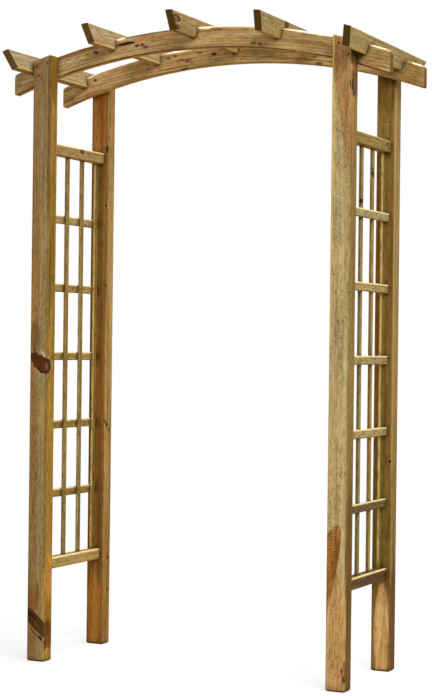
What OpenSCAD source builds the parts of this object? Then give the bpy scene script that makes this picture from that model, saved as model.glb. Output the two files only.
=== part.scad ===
// Round-top garden arbor of planed, pressure-treated softwood.
// Four posts carry two arched beams. Five rafters are let into the tops of the
// arches, square to the curve. A trellis panel closes each side.
// The origin is on the ground at the middle of the plan: +X to the right,
// -Y to the front and +Z up. All sizes are in millimetres.

/* [Posts] */
// Width of a post, seen from the front
post_w = 70; // [50:1:100]
// Depth of a post, from front to back
post_d = 54; // [40:1:80]
// Radius of the eased long edges of a post
post_ease = 5; // [1:0.5:8]
// Chamfer round the foot of a post
foot_chamfer = 6; // [2:0.5:10]
// Chamfer round the head of a post
head_chamfer = 4; // [1:0.5:8]

/* [Plan] */
// Clear width of the walkway, from left posts to right posts
walk_w = 1065; // [900:5:1400]
// Clear gap between a front post and the back post behind it
bay_d = 366; // [340:2:600]

/* [Arches] */
// Height of the crown, on top of an arch
crown_h = 2205; // [2100:5:2500]
// Radius of the curve along the top of an arch
arch_r = 2135; // [1800:5:3000]
// Depth of an arch, from its top to its underside
arch_h = 72; // [60:1:90]
// Thickness of an arch, from front to back
arch_t = 27; // [18:1:40]
// Distance that an arch runs out past the outer face of a post
arch_overhang = 110; // [80:1:180]
// Radius of the top corner at the end of an arch
arch_nose_r = 18; // [8:1:30]
// Radius of the bottom corner at the end of an arch
arch_heel_r = 7; // [2:1:15]
// Radius of the eased long edges of an arch
arch_ease = 4; // [1:0.5:6]

/* [Rafters] */
// Height of a rafter
rafter_h = 64; // [50:1:90]
// Thickness of a rafter
rafter_t = 26; // [18:1:40]
// Depth that a rafter is let into an arch
rafter_seat = 36; // [15:1:50]
// Distance that a rafter runs out past the face of a post
rafter_reach = 133; // [90:1:200]
// Slope of a rafter's end cut: how much shorter its underside is at each end
rafter_slant = 36; // [10:1:60]
// Radius of the bottom corner at each end of a rafter
rafter_toe_r = 9; // [2:1:15]
// Gap between a post and the outermost rafter, at its bottom edge
rafter_gap = 2; // [1:0.5:10]
// Radius of the eased long edges of a rafter
rafter_ease = 3; // [1:0.5:6]
// Clearance on each side of a rafter in its notch
notch_play = 2; // [0.5:0.5:4]

/* [Side panels] */
// Height of a rail of a side panel
rail_h = 40; // [30:1:60]
// Thickness of a rail of a side panel
rail_t = 38; // [25:1:46]
// Height above ground of the underside of the bottom rail
bottom_rail_z = 319; // [200:1:450]
// Distance from the crown down to the top of the top rail
top_rail_drop = 371; // [300:1:600]
// Height of a slat
slat_h = 30; // [18:1:40]
// Thickness of a slat
slat_t = 10; // [6:0.5:14]
// Width of an upright, from front to back
upright_w = 20; // [12:1:30]
// Thickness of an upright
upright_t = 10; // [6:0.5:14]
// Clear gap between a post and the upright next to it
upright_gap = 17; // [6:1:40]
// How far outside the middle of the posts the slats meet the uprights
meeting_out = 5; // [0:0.5:7]
// Radius of the eased edges of the rails
rail_ease = 4; // [1:0.5:6]
// Radius of the eased edges of the slats and uprights
slat_ease = 2; // [0.5:0.5:2.5]

/* [Hidden] */
$fn = 64;
RAFTERS = 5;
SLATS = 5;
UPRIGHTS = 4;
// Cutting tools run this far past what they cut
over = 20;

// Left and right post faces, and the middle of a post, measured from the centre
post_in_x = walk_w / 2;
post_out_x = post_in_x + post_w;
post_mid_x = post_in_x + post_w / 2;
// Inner and front faces of the front posts, measured from the centre
post_in_y = bay_d / 2;
post_out_y = post_in_y + post_d;
post_mid_y = post_in_y + post_d / 2;

// Centre of the arch's curve, the underside's radius, and the end of the arch
arch_mid_z = crown_h - arch_r;
arch_under_r = arch_r - arch_h;
arch_end_x = post_out_x + arch_overhang;

// The rafters' seats, their ends, and the angle out to the outermost one
seat_r = arch_r - rafter_seat;
rafter_end_y = post_out_y + rafter_reach;
rafter_edge_x = post_out_x + rafter_gap;
rafter_reach_r = sqrt(seat_r * seat_r + rafter_t * rafter_t / 4);
rafter_angle = asin(rafter_edge_x / rafter_reach_r) + atan(rafter_t / 2 / seat_r);

// Plane where the slats meet the uprights
meeting_x = post_mid_x + meeting_out;

// Levels of the rails and slats, and the spacing and length of the uprights
bottom_rail_mid_z = bottom_rail_z + rail_h / 2;
top_rail_mid_z = crown_h - top_rail_drop - rail_h / 2;
slat_pitch = (top_rail_mid_z - bottom_rail_mid_z) / (SLATS + 1);
upright_pitch = (bay_d - 2 * upright_gap - upright_w) / (UPRIGHTS - 1);
upright_z = bottom_rail_z + rail_h;
upright_len = top_rail_mid_z - rail_h / 2 - upright_z;

// Height of the top curve of an arch at a distance x from the centre
function arch_top_z(x) = arch_mid_z + sqrt(arch_r * arch_r - x * x);

// A post's head slopes from its inner edge down to its outer edge
head_in_z = arch_top_z(post_in_x);
head_out_z = arch_top_z(post_out_x);
head_slope = atan2(head_in_z - head_out_z, post_w);

// ---- Shared shapes ----

// A rectangle with round corners, centred on the origin
module eased_rect(w, d, r) {
    square([w - 2 * r, d], center = true);
    square([w, d - 2 * r], center = true);
    for (sx = [-1, 1])
        for (sy = [-1, 1])
            translate([sx * (w / 2 - r), sy * (d / 2 - r)])
                circle(r);
}

// A bar that runs front to back between the posts, centred on y = 0
module cross_bar(t, h, r) {
    translate([0, bay_d / 2, 0])
        rotate([90, 0, 0])
            linear_extrude(bay_d)
                eased_rect(t, h, r);
}

// ---- Posts ----

// Front view of a right-hand post: chamfered foot, and a head cut to the arch's slope
module post_front_view() {
    across = head_chamfer * cos(head_slope);
    drop = head_chamfer * sin(head_slope);
    polygon([
        [post_in_x + foot_chamfer, 0],
        [post_out_x - foot_chamfer, 0],
        [post_out_x, foot_chamfer],
        [post_out_x, head_out_z - head_chamfer],
        [post_out_x - across, head_out_z + drop],
        [post_in_x + across, head_in_z - drop],
        [post_in_x, head_in_z - head_chamfer],
        [post_in_x, foot_chamfer]
    ]);
}

// Side view of a post: chamfered foot, square top
module post_side_view() {
    polygon([
        [foot_chamfer - post_d / 2, 0],
        [post_d / 2 - foot_chamfer, 0],
        [post_d / 2, foot_chamfer],
        [post_d / 2, crown_h],
        [-post_d / 2, crown_h],
        [-post_d / 2, foot_chamfer]
    ]);
}

// What is cut along the front and back edges of a right-hand post's sloping head
module head_waste() {
    translate([post_mid_x, 0, (head_in_z + head_out_z) / 2])
        rotate([0, head_slope, 0])
            rotate([90, 0, 90])
                for (edge = [0, 1])
                    mirror([edge, 0, 0])
                        translate([0, 0, -post_w])
                            linear_extrude(2 * post_w)
                                polygon([
                                    [post_d / 2 - head_chamfer, 0],
                                    [post_d / 2, -head_chamfer],
                                    [post_d / 2 + over, -head_chamfer],
                                    [post_d / 2 + over, over],
                                    [post_d / 2 - head_chamfer, over]
                                ]);
}

// The post's body: an eased bar cut to its front and side views
module post_body() {
    intersection() {
        translate([post_mid_x, 0, 0])
            linear_extrude(crown_h)
                eased_rect(post_w, post_d, post_ease);
        translate([0, post_d / 2, 0])
            rotate([90, 0, 0])
                linear_extrude(post_d)
                    post_front_view();
        translate([post_in_x, 0, 0])
            rotate([90, 0, 90])
                linear_extrude(post_w)
                    post_side_view();
    }
}

// side is -1 at the left and 1 at the right, row is -1 in front and 1 behind
module post(side, row) {
    color("burlywood")
        translate([0, row * post_mid_y, 0])
            mirror([side < 0 ? 1 : 0, 0, 0])
                difference() {
                    post_body();
                    head_waste();
                }
}

// ---- Arches ----

// What is cut away to round a corner at the right-hand end of an arch.
// edge_r is the radius of the curved edge, in_r that of the corner's centre.
module corner_waste(edge_r, in_r, r) {
    cx = arch_end_x - r;
    cz = sqrt(in_r * in_r - cx * cx);
    tip_z = sqrt(edge_r * edge_r - arch_end_x * arch_end_x);
    way = edge_r > in_r ? 1 : -1;
    difference() {
        polygon([
            [cx, cz],
            [arch_end_x + over, cz],
            [arch_end_x + over, tip_z + way * over],
            [cx / in_r * (edge_r + way * over), cz / in_r * (edge_r + way * over)]
        ]);
        translate([cx, cz])
            circle(r);
    }
}

// The curved beam before it is cut: an eased bar swept round the curve's centre
module arch_beam() {
    sweep = 2 * asin((arch_end_x + over) / arch_under_r);
    rotate([90, 0, 0])
        rotate([0, 0, 90 - sweep / 2])
            rotate_extrude(angle = sweep, $fn = 360)
                translate([arch_r - arch_h / 2, 0])
                    eased_rect(arch_h, arch_t, arch_ease);
}

// Front view of all that is cut from the beam: its ends and the rafters' notches
module arch_cuts() {
    for (side = [0, 1])
        mirror([side, 0]) {
            translate([arch_end_x, 0])
                square([4 * over, arch_r + over]);
            corner_waste(arch_r, arch_r - arch_nose_r, arch_nose_r);
            corner_waste(arch_under_r, arch_under_r + arch_heel_r, arch_heel_r);
        }
    for (i = [1:RAFTERS])
        rotate(-rafter_turn(i))
            translate([-rafter_t / 2 - notch_play, seat_r])
                square([rafter_t + 2 * notch_play, rafter_seat + over]);
}

// row is -1 for the front arch, which stands behind the front posts
module arch(row) {
    color("burlywood")
        translate([0, row * (post_in_y - arch_t / 2), arch_mid_z])
            difference() {
                arch_beam();
                translate([0, over + arch_t / 2, 0])
                    rotate([90, 0, 0])
                        linear_extrude(2 * over + arch_t)
                            arch_cuts();
            }
}

// ---- Rafters ----

// Angle from plumb of rafter i, counted from the left
function rafter_turn(i) = rafter_angle * (2 * (i - 1) / (RAFTERS - 1) - 1);

// Side view of a rafter: both ends slope back to a round bottom corner
module rafter_side_view() {
    toe_y = rafter_end_y - rafter_slant;
    slope = atan2(rafter_h, rafter_slant);
    // Distance from the sharp corner to where its rounding starts
    run = rafter_toe_r * tan(slope / 2);
    difference() {
        polygon([
            [-toe_y, 0],
            [toe_y, 0],
            [rafter_end_y, rafter_h],
            [-rafter_end_y, rafter_h]
        ]);
        for (end = [0, 1])
            mirror([end, 0])
                difference() {
                    translate([toe_y - run, -over])
                        square([2 * over, over + rafter_toe_r * (1 - cos(slope))]);
                    translate([toe_y - run, rafter_toe_r])
                        circle(rafter_toe_r);
                }
    }
}

module rafter(i) {
    color("wheat")
        translate([0, 0, arch_mid_z])
            rotate([0, rafter_turn(i), 0])
                translate([0, 0, seat_r])
                    intersection() {
                        translate([-rafter_t / 2, 0, 0])
                            rotate([90, 0, 90])
                                linear_extrude(rafter_t)
                                    rafter_side_view();
                        translate([0, rafter_end_y, rafter_h / 2])
                            rotate([90, 0, 0])
                                linear_extrude(2 * rafter_end_y)
                                    eased_rect(rafter_t, rafter_h, rafter_ease);
                    }
}

// ---- Side panels ----
// The slats lie outside the plane where they meet the uprights, the uprights inside it.

module top_rail(side) {
    color("tan")
        translate([side * post_mid_x, 0, top_rail_mid_z])
            cross_bar(rail_t, rail_h, rail_ease);
}

module bottom_rail(side) {
    color("tan")
        translate([side * post_mid_x, 0, bottom_rail_mid_z])
            cross_bar(rail_t, rail_h, rail_ease);
}

// Slats are counted from the bottom
module slat(side, i) {
    color("tan")
        translate([side * (meeting_x + slat_t / 2), 0, bottom_rail_mid_z + i * slat_pitch])
            cross_bar(slat_t, slat_h, slat_ease);
}

// Uprights are counted from the front
module upright(side, i) {
    y = upright_pitch * (i - (UPRIGHTS + 1) / 2);
    color("tan")
        translate([side * (meeting_x - upright_t / 2), y, upright_z])
            linear_extrude(upright_len)
                eased_rect(upright_t, upright_w, slat_ease);
}

// ---- The parts ----
post(-1, -1);  // post_front_left
post(1, -1);  // post_front_right
post(-1, 1);  // post_back_left
post(1, 1);  // post_back_right
arch(-1);  // arch_front
arch(1);  // arch_back
for (i = [1:RAFTERS])
    rafter(i);
for (side = [-1, 1]) {
    name = side < 0 ? "left" : "right";
    top_rail(side);
    bottom_rail(side);
    for (i = [1:SLATS])
        slat(side, i);
    for (i = [1:UPRIGHTS])
        upright(side, i);
}
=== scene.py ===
"""The finish of a round-top garden arbor: treated pine on every stick, and the fixings.

The frame is in metres: +X to the right, -Y to the front, +Z up. What a stick's look says is in
millimetres in the stick's own directions (b, c, a). On a post or an upright b runs to the right,
c to the back, and a up from its foot. On a rafter, rail or slat b runs to the right, c up, and a to
the back from the middle. On an arch b runs to the back, c out from the middle of its depth, and a
round the curve from the crown to the right. Colours are screen values unless they are called linear.
"""

import math

import bmesh
import bpy
from mathutils import Euler, Matrix, Vector


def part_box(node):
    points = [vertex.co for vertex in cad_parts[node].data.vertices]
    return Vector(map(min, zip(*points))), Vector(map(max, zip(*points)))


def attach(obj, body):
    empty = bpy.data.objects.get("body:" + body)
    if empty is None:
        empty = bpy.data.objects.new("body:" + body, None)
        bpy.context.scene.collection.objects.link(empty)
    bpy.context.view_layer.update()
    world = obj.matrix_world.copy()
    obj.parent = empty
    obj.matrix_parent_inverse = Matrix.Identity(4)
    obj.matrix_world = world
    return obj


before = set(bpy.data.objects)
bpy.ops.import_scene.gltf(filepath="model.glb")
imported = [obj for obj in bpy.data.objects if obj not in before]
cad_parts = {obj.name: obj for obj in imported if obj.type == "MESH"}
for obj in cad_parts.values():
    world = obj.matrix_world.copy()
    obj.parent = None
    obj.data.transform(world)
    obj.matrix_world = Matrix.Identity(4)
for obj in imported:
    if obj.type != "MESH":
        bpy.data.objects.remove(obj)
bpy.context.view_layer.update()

MM = 0.001


# ---- The frame's own geometry ----

def middle(name):
    """The middle of a CAD node's box."""
    low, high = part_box(name)
    return (low + high) / 2


def size(name):
    """The size of a CAD node's box."""
    low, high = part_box(name)
    return high - low


def inside_out(name):
    """The x direction away from the walkway: -1 for a piece on the left, 1 for one on the right."""
    return -1 if middle(name).x < 0 else 1


RAFTERS = [f"rafter_{i}" for i in range(1, 6)]
ARCHES = ["arch_front", "arch_back"]
SIDES = ["left", "right"]

crown = middle("rafter_3")
outer = middle("rafter_5")
# Height of the centre of the arches' curve: the rafters' middles lie on one circle round it
CURVE_Z = (crown.z**2 - outer.z**2 - outer.x**2) / (2 * (crown.z - outer.z))
ARCH_TOP_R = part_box("arch_front")[1].z - CURVE_Z
ARCH_DEPTH = 72 * MM
ARCH_MID_R = ARCH_TOP_R - ARCH_DEPTH / 2
RAFTER_HEIGHT = size("rafter_3").z
RAFTER_THICKNESS = size("rafter_3").x


def rafter_turn(name):
    """How far a rafter leans out from plumb, in radians."""
    centre = middle(name)
    return math.atan2(centre.x, centre.z - CURVE_Z)


# ---- Building shader trees ----

def linear(tone):
    """A colour in screen values, as the linear values that a shader takes."""
    values = [value / 255 for value in tone]
    return (*[v / 12.92 if v <= 0.04045 else ((v + 0.055) / 1.055) ** 2.4 for v in values], 1.0)


def metres(values):
    """Millimetres to metres, as a plain tuple."""
    return tuple(value * MM for value in values)


class Graph:
    """Adds nodes to one shader tree. A value may be a number, a vector, a colour or a socket."""

    def __init__(self, tree):
        self.tree = tree

    def fill(self, made, inputs):
        for key, value in inputs.items():
            if isinstance(value, bpy.types.NodeSocket):
                self.tree.links.new(value, made.inputs[key])
            else:
                made.inputs[key].default_value = value
        return made

    def node(self, kind, inputs, **settings):
        made = self.tree.nodes.new("ShaderNode" + kind)
        for key, value in settings.items():
            setattr(made, key, value)
        return self.fill(made, inputs)

    def use(self, group, inputs):
        return self.node("Group", inputs, node_tree=group).outputs

    def here(self):
        """The shaded point's place in the object and its normal, as an outputs list."""
        return self.node("TexCoord", {}).outputs

    def math(self, operation, *values):
        return self.node("Math", dict(enumerate(values)), operation=operation).outputs[0]

    def chain(self, operation, values):
        total = values[0]
        for value in values[1:]:
            total = self.math(operation, total, value)
        return total

    def sum(self, *values):
        return self.chain("ADD", values)

    def product(self, *values):
        return self.chain("MULTIPLY", values)

    def minus(self, value, other):
        return self.math("SUBTRACT", value, other)

    def vector(self, operation, *values):
        made = self.node("VectorMath", dict(enumerate(values)), operation=operation)
        return made.outputs["Value" if operation in ("LENGTH", "DOT_PRODUCT") else "Vector"]

    def scaled(self, vector, factor):
        made = self.node("VectorMath", {0: vector, "Scale": factor}, operation="SCALE")
        return made.outputs["Vector"]

    def split(self, vector):
        return self.node("SeparateXYZ", {0: vector}).outputs

    def join(self, x, y, z):
        return self.node("CombineXYZ", {0: x, 1: y, 2: z}).outputs[0]

    def step(self, value, low, high, to_low=0.0, to_high=1.0):
        """A smooth step from to_low at low to to_high at high. low may be above high."""
        inputs = dict(enumerate((value, low, high, to_low, to_high)))
        return self.node("MapRange", inputs, interpolation_type="SMOOTHSTEP").outputs[0]

    def noise(self, vector, stretch=None, detail=2.0, roughness=0.5, colour=False):
        """Noise that is as fine in each direction as stretch says."""
        if stretch:
            vector = self.vector("MULTIPLY", vector, stretch)
        inputs = {"Vector": vector, "Scale": 1.0, "Detail": detail, "Roughness": roughness}
        return self.node("TexNoise", inputs).outputs["Color" if colour else "Fac"]

    def mix(self, first, second, amount):
        inputs = {0: amount, 6: first, 7: second}
        return self.node("Mix", inputs, data_type="RGBA").outputs[2]

    def tint(self, colour, other, amount):
        """Multiplies a colour by another, as far as amount says."""
        inputs = {0: amount, 6: colour, 7: other}
        return self.node("Mix", inputs, data_type="RGBA", blend_type="MULTIPLY").outputs[2]

    def placed(self, vector, place, turn, scale):
        """vector as seen from a frame at place, turned and scaled."""
        inputs = {"Vector": vector, "Location": place, "Rotation": turn, "Scale": scale}
        return self.node("Mapping", inputs, vector_type="TEXTURE").outputs[0]


def empty_tree(owner):
    """The graph of a material or a world, with nothing in it yet."""
    owner.use_nodes = True
    owner.node_tree.nodes.clear()
    return Graph(owner.node_tree)


def new_group(name, vectors, floats, results):
    """A shader group with sockets of these names: its graph, its inputs and its output node."""
    tree = bpy.data.node_groups.new(name, "ShaderNodeTree")
    for kind, keys in (("Vector", vectors), ("Float", floats)):
        for key in keys.split():
            tree.interface.new_socket(key, in_out="INPUT", socket_type="NodeSocket" + kind)
    for key in results.split():
        tree.interface.new_socket(key, in_out="OUTPUT", socket_type="NodeSocketFloat")
    taken = tree.nodes.new("NodeGroupInput").outputs
    given = tree.nodes.new("NodeGroupOutput")
    return Graph(tree), taken, given


# How fine each noise is across the grain (b and c) and along it (a), per metre
WAVES, RIPPLES = (9, 9, 1.7), (70, 70, 5)
CRUMBS, FRAYS, DOTS = (170, 170, 70), (90, 90, 12), (260, 260, 150)
FIBRES, CLOUDS, MOTTLES = (330, 330, 8), (14, 14, 2.8), (120, 120, 34)
STREAKS, BANDS, HUES = (110, 110, 2.2), (42, 42, 2), (55, 55, 16)


def make_rings():
    """Growth rings round a pith that runs past or through the stick, as in a sawn board.

    Late is 1 on the dark late wood that ends each ring. Lift pushes the rings aside, as a knot does.
    """
    g, taken, given = new_group(
        "growth_rings", "Local Moved Pith Drift Bend", "Span Spacing Lift", "Late Radius")
    local, moved = taken["Local"], taken["Moved"]
    along = g.math("DIVIDE", g.split(local)[2], taken["Span"])
    pith = g.vector("ADD", taken["Pith"], g.scaled(taken["Drift"], along))
    pith = g.vector("ADD", pith, g.scaled(taken["Bend"], g.product(along, along)))
    wander, ripple = 18 * MM, 3 * MM
    wave = g.noise(moved, WAVES, detail=1.0, colour=True)
    wave = g.vector("MULTIPLY", g.vector("SUBTRACT", wave, (0.5, 0.5, 0.5)), (wander, wander, 0.0))
    offset = g.vector("MULTIPLY", g.vector("SUBTRACT", local, pith), (1.0, 1.0, 0.0))
    radius = g.vector("LENGTH", g.vector("ADD", offset, wave))
    fine = g.product(g.minus(g.noise(moved, RIPPLES), 0.5), ripple)
    radius = g.sum(radius, fine, taken["Lift"])
    phase = g.math("DIVIDE", radius, taken["Spacing"])
    part = g.math("FRACT", phase)
    late = g.product(g.step(part, 0.2, 0.82), g.step(part, 1.0, 0.9))
    ring = g.node("TexWhiteNoise", {"W": g.math("FLOOR", phase)}, noise_dimensions="1D")
    late = g.product(late, g.step(ring.outputs[0], 0.0, 0.9, 0.2, 1.0))
    g.fill(given, {"Late": late, "Radius": radius})
    return g.tree


def make_knot():
    """A branch with round ends that lies along its own z in the stick: Size holds its radii and
    Straight half its straight length. Core is its wood, Rim its dark bark line, Halo the pale grain
    drawn round it, Eye its own rings, and Lift how far it pushes the grain aside."""
    g, taken, given = new_group(
        "knot", "Local Place Turn Size", "Straight Ragged", "Core Rim Halo Lift Eye")
    x, y, z = g.split(g.placed(taken["Local"], taken["Place"], taken["Turn"], (1.0, 1.0, 1.0)))
    past = g.math("MAXIMUM", g.minus(g.math("ABSOLUTE", z), taken["Straight"]), 0.0)
    reach = g.vector("LENGTH", g.vector("DIVIDE", g.join(x, y, past), taken["Size"]))
    reach = g.sum(reach, g.product(taken["Ragged"], 0.55))
    rings = g.step(g.math("FRACT", g.product(reach, 2.6)), 0.25, 0.9)
    g.fill(given, {
        "Core": g.step(reach, 1.04, 0.88),
        "Rim": g.product(g.step(reach, 0.68, 0.95), g.step(reach, 1.22, 1.0)),
        "Halo": g.product(g.step(reach, 1.05, 1.2), g.step(reach, 1.7, 1.25)),
        "Lift": g.step(reach, 4.5, 0.3),
        "Eye": g.sum(g.product(rings, 0.6), g.product(taken["Ragged"], 1.4)),
    })
    return g.tree


def make_patch():
    """1 inside an ellipsoid whose edge is soft and frays along the grain."""
    g, taken, given = new_group("patch", "Local Place Turn Size", "Soft Fray Ragged", "Mask")
    local = g.placed(taken["Local"], taken["Place"], taken["Turn"], taken["Size"])
    reach = g.sum(g.vector("LENGTH", local), g.product(taken["Ragged"], taken["Fray"]))
    inner = g.minus(1.0, taken["Soft"])
    g.fill(given, {"Mask": g.step(reach, 1.0, inner)})
    return g.tree


def make_cathedral():
    """Red heartwood that the saw meets as a pointed arch, with the growth rings nested in it.

    Place is the point, Turn the lean, and Size how wide, deep and far below the point the arch is
    where it is as wide as Size says. Rings is the number of rings in that length.
    """
    g, taken, given = new_group("cathedral", "Local Place Turn Size", "Rings Ragged", "Mask Line")
    x, y, z = g.split(g.placed(taken["Local"], taken["Place"], taken["Turn"], taken["Size"]))
    spread = g.sum(g.product(x, x), g.product(y, y))
    inside = g.minus(g.product(z, -1.0), spread)
    inside = g.sum(inside, g.product(taken["Ragged"], 0.12))
    phase = g.math("FRACT", g.product(inside, taken["Rings"]))
    line = g.product(g.step(phase, 0.3, 0.75), g.step(phase, 1.0, 0.88))
    g.fill(given, {"Mask": g.step(inside, 0.0, 0.06), "Line": line})
    return g.tree


RINGS = make_rings()
KNOT = make_knot()
PATCH = make_patch()
CATHEDRAL = make_cathedral()


# ---- Where a point lies in its stick ----

def along_z(g, name):
    """Local coordinates, the normal's share along the grain, and the sizes of an upright stick."""
    centre, whole = middle(name), size(name)
    foot = (centre.x, centre.y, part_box(name)[0].z)
    here = g.here()
    local = g.vector("SUBTRACT", here["Object"], foot)
    ending = g.math("ABSOLUTE", g.split(here["Normal"])[2])
    return local, ending, whole.x / 2, whole.y / 2, whole.z


def along_y(g, name, turn=0.0, whole=None):
    """The same for a stick that runs front to back, leaning by turn."""
    centre = middle(name)
    whole = whole or size(name)
    here = g.here()
    moved = g.placed(here["Object"], tuple(centre), (0.0, turn, 0.0), (1.0, 1.0, 1.0))
    x, y, z = g.split(moved)
    ending = g.math("ABSOLUTE", g.split(here["Normal"])[1])
    return g.join(x, z, y), ending, whole.x / 2, whole.z / 2, whole.y


def along_rafter(g, name):
    """The same for a rafter, which leans out square to the arches' curve."""
    whole = Vector((RAFTER_THICKNESS, size(name).y, RAFTER_HEIGHT))
    return along_y(g, name, rafter_turn(name), whole)


def along_arch(g, name):
    """The same for an arch, round its curve."""
    centre, whole = middle(name), size(name)
    here = g.here()
    x, y, z = g.split(here["Object"])
    up = g.minus(z, CURVE_Z)
    radius = g.vector("LENGTH", g.join(x, up, 0.0))
    arc = g.product(g.math("ARCTAN2", x, up), ARCH_MID_R)
    local = g.join(g.minus(y, centre.y), g.minus(radius, ARCH_MID_R), arc)
    tangent = g.vector("NORMALIZE", g.join(up, 0.0, g.product(x, -1.0)))
    ending = g.math("ABSOLUTE", g.vector("DOT_PRODUCT", here["Normal"], tangent))
    return local, ending, whole.y / 2, ARCH_DEPTH / 2, whole.x


# ---- What a stick's look may show ----

KNOT_BROWN = (96, 60, 32)
KNOT_DARK = (52, 32, 18)
BARK = (46, 30, 18)
CRACK = (70, 48, 26)
END_GRAIN = (83, 61, 14)
OLIVE = (146, 128, 72)
TOP_ARRIS_HIGHLIGHT = (252, 236, 200)
# The next two are painted highlights on the arches' top arrises
PALE_TOP_HIGHLIGHT = (236, 214, 164)
KNOT_HALO = (214, 188, 138)
# A pith that doesn't drift to one side or bow on its way along the stick
STRAIGHT = (0, 0, 0)
# Linear multipliers
LATE_WOOD = (0.60, 0.48, 0.34, 1.0)
RING_LINE = (0.42, 0.34, 0.24, 1.0)
STREAKED = (0.72, 0.62, 0.50, 1.0)
WARM = (1.14, 0.96, 0.84, 1.0)
GREENISH = (0.90, 1.04, 0.98, 1.0)
FIBRE_DARK = (0.66, 0.60, 0.52, 1.0)
FIBRE_LIGHT = (1.24, 1.20, 1.12, 1.0)
MILDEW = (0.46, 0.48, 0.38, 1.0)
# Painted warm shade on faces that look down
UNDERSIDE_SHADE = (1.10, 0.92, 0.50, 1.0)
# Painted shade in corners, joints and gaps between sticks
CORNER_SHADE = (0.34, 0.28, 0.18, 1.0)


def knot(at, size=(6, 6, 6), lean=0, tone=KNOT_BROWN, push=4, halo=0.25, straight=0, rim=0.7):
    """size: the radii along b, c and a. lean: degrees from upright, to the right on a post."""
    return dict(at=at, lean=lean, size=size, tone=linear(tone), push=push, halo=halo,
                straight=straight, rim=rim)


def patch(at, size, tone, amount=0.6, lean=0, soft=0.5, fray=0.7):
    """size: the half sizes along b, c and a. The smaller soft is, the harder the edge."""
    return dict(at=at, lean=lean, size=size, tone=linear(tone), amount=amount, soft=soft,
                fray=fray)


def crack(at, length, lean=0, width=1.4, tone=CRACK, amount=0.85):
    """A drying crack along a post's face."""
    return patch(at, (width, 6, length / 2), tone, amount, lean, 0.6, 0.5)


def blot(at, size, tone=KNOT_DARK, amount=0.9, lean=0):
    """A small dark knot or stain with a ragged edge."""
    return patch(at, size, tone, amount, lean, 0.5, 1.6)


def cathedral(at, size, tone, lean=0, rings=9):
    return dict(at=at, lean=lean, size=size, tone=linear(tone), rings=float(rings))


def arris(side, row, reach, tone, amount=0.6, low=-9000, high=9000):
    """A long edge: which side of b and c it is on, how wide it shows, and from where to where."""
    return dict(side=side, row=row, reach=reach, tone=linear(tone), amount=amount, low=low, high=high)


# ---- Treated pine ----

def feature(g, group, item, local, **more):
    """The outputs of a knot's, patch's or cathedral's group, at its place in the stick."""
    inputs = {"Local": local, "Place": metres(item["at"]), "Size": metres(item["size"]),
              "Turn": (0.0, math.radians(item["lean"]), 0.0)}
    return g.use(group, {**inputs, **more})


def add_knots(g, local, ragged, look):
    """The knots' groups, and how far they push the grain aside between them."""
    lift, made = 0.0, []
    for item in look.get("knots", []):
        outputs = feature(g, KNOT, item, local, Straight=item["straight"] * MM, Ragged=ragged)
        made.append((outputs, item))
        lift = g.sum(lift, g.product(outputs["Lift"], item["push"] * MM))
    return made, lift


def paint_knots(g, colour, knots):
    for outputs, item in knots:
        colour = g.mix(colour, linear(KNOT_HALO), g.product(outputs["Halo"], item["halo"]))
        core = g.mix(item["tone"], linear(KNOT_DARK), g.product(outputs["Eye"], 0.6))
        colour = g.mix(colour, core, outputs["Core"])
        colour = g.mix(colour, linear(BARK), g.product(outputs["Rim"], item["rim"]))
    return colour


def paint_cathedrals(g, colour, local, ragged, look):
    for item in look.get("cathedrals", []):
        outputs = feature(g, CATHEDRAL, item, local, Rings=item["rings"], Ragged=ragged)
        red = g.tint(item["tone"], RING_LINE, outputs["Line"])
        colour = g.mix(colour, red, outputs["Mask"])
    return colour


def paint_patches(g, colour, local, ragged, items):
    for item in items:
        edge = {"Soft": item["soft"], "Fray": item["fray"], "Ragged": ragged}
        mask = feature(g, PATCH, item, local, **edge)["Mask"]
        colour = g.mix(colour, item["tone"], g.product(mask, item["amount"]))
    return colour


def paint_arrises(g, colour, local, half_b, half_c, breakup, look):
    b, c, a = g.split(local)
    for item in look.get("arrises", []):
        from_b = g.minus(b, item["side"] * half_b)
        from_c = g.minus(c, item["row"] * half_c)
        reach = item["reach"] * MM
        near = g.step(g.vector("LENGTH", g.join(from_b, from_c, 0.0)), reach, reach * 0.55)
        fade = 60 * MM
        low, high = item["low"] * MM, item["high"] * MM
        there = g.product(g.step(a, low - fade, low + fade), g.step(a, high + fade, high - fade))
        broken = g.step(breakup, 0.25, 0.55, 0.55, 1.0)
        colour = g.mix(colour, item["tone"], g.product(near, there, broken, item["amount"]))
    return colour


def base_tone(g, look, radius, normal):
    """Sapwood, heartwood within its reach of the pith, and the other tone of the faces to the sides,
    which is partly their own wood tone and partly painted light and shade.
    """
    colour = linear(look["tone"])
    if "heart" in look:
        reach, tone = look["heart"]
        red = g.step(radius, (reach + 1) * MM, (reach - 2) * MM)
        colour = g.mix(colour, linear(tone), g.product(red, 0.95))
    # The side faces' tone is partly the wood's own and partly painted light and shade.
    if "side" in look:
        sideways = g.step(g.math("ABSOLUTE", g.split(normal)[0]), 0.55, 0.85)
        colour = g.mix(colour, linear(look["side"]), sideways)
    return colour


def uneven(g, colour, noise, spread, amount, above=FIBRE_DARK, below=FIBRE_LIGHT):
    """Tints a colour one way where a noise is high and another way where it is low."""
    colour = g.tint(colour, above, g.step(noise, 0.5, 0.5 + spread, 0.0, amount))
    return g.tint(colour, below, g.step(noise, 0.5, 0.5 - spread, 0.0, amount))


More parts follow.
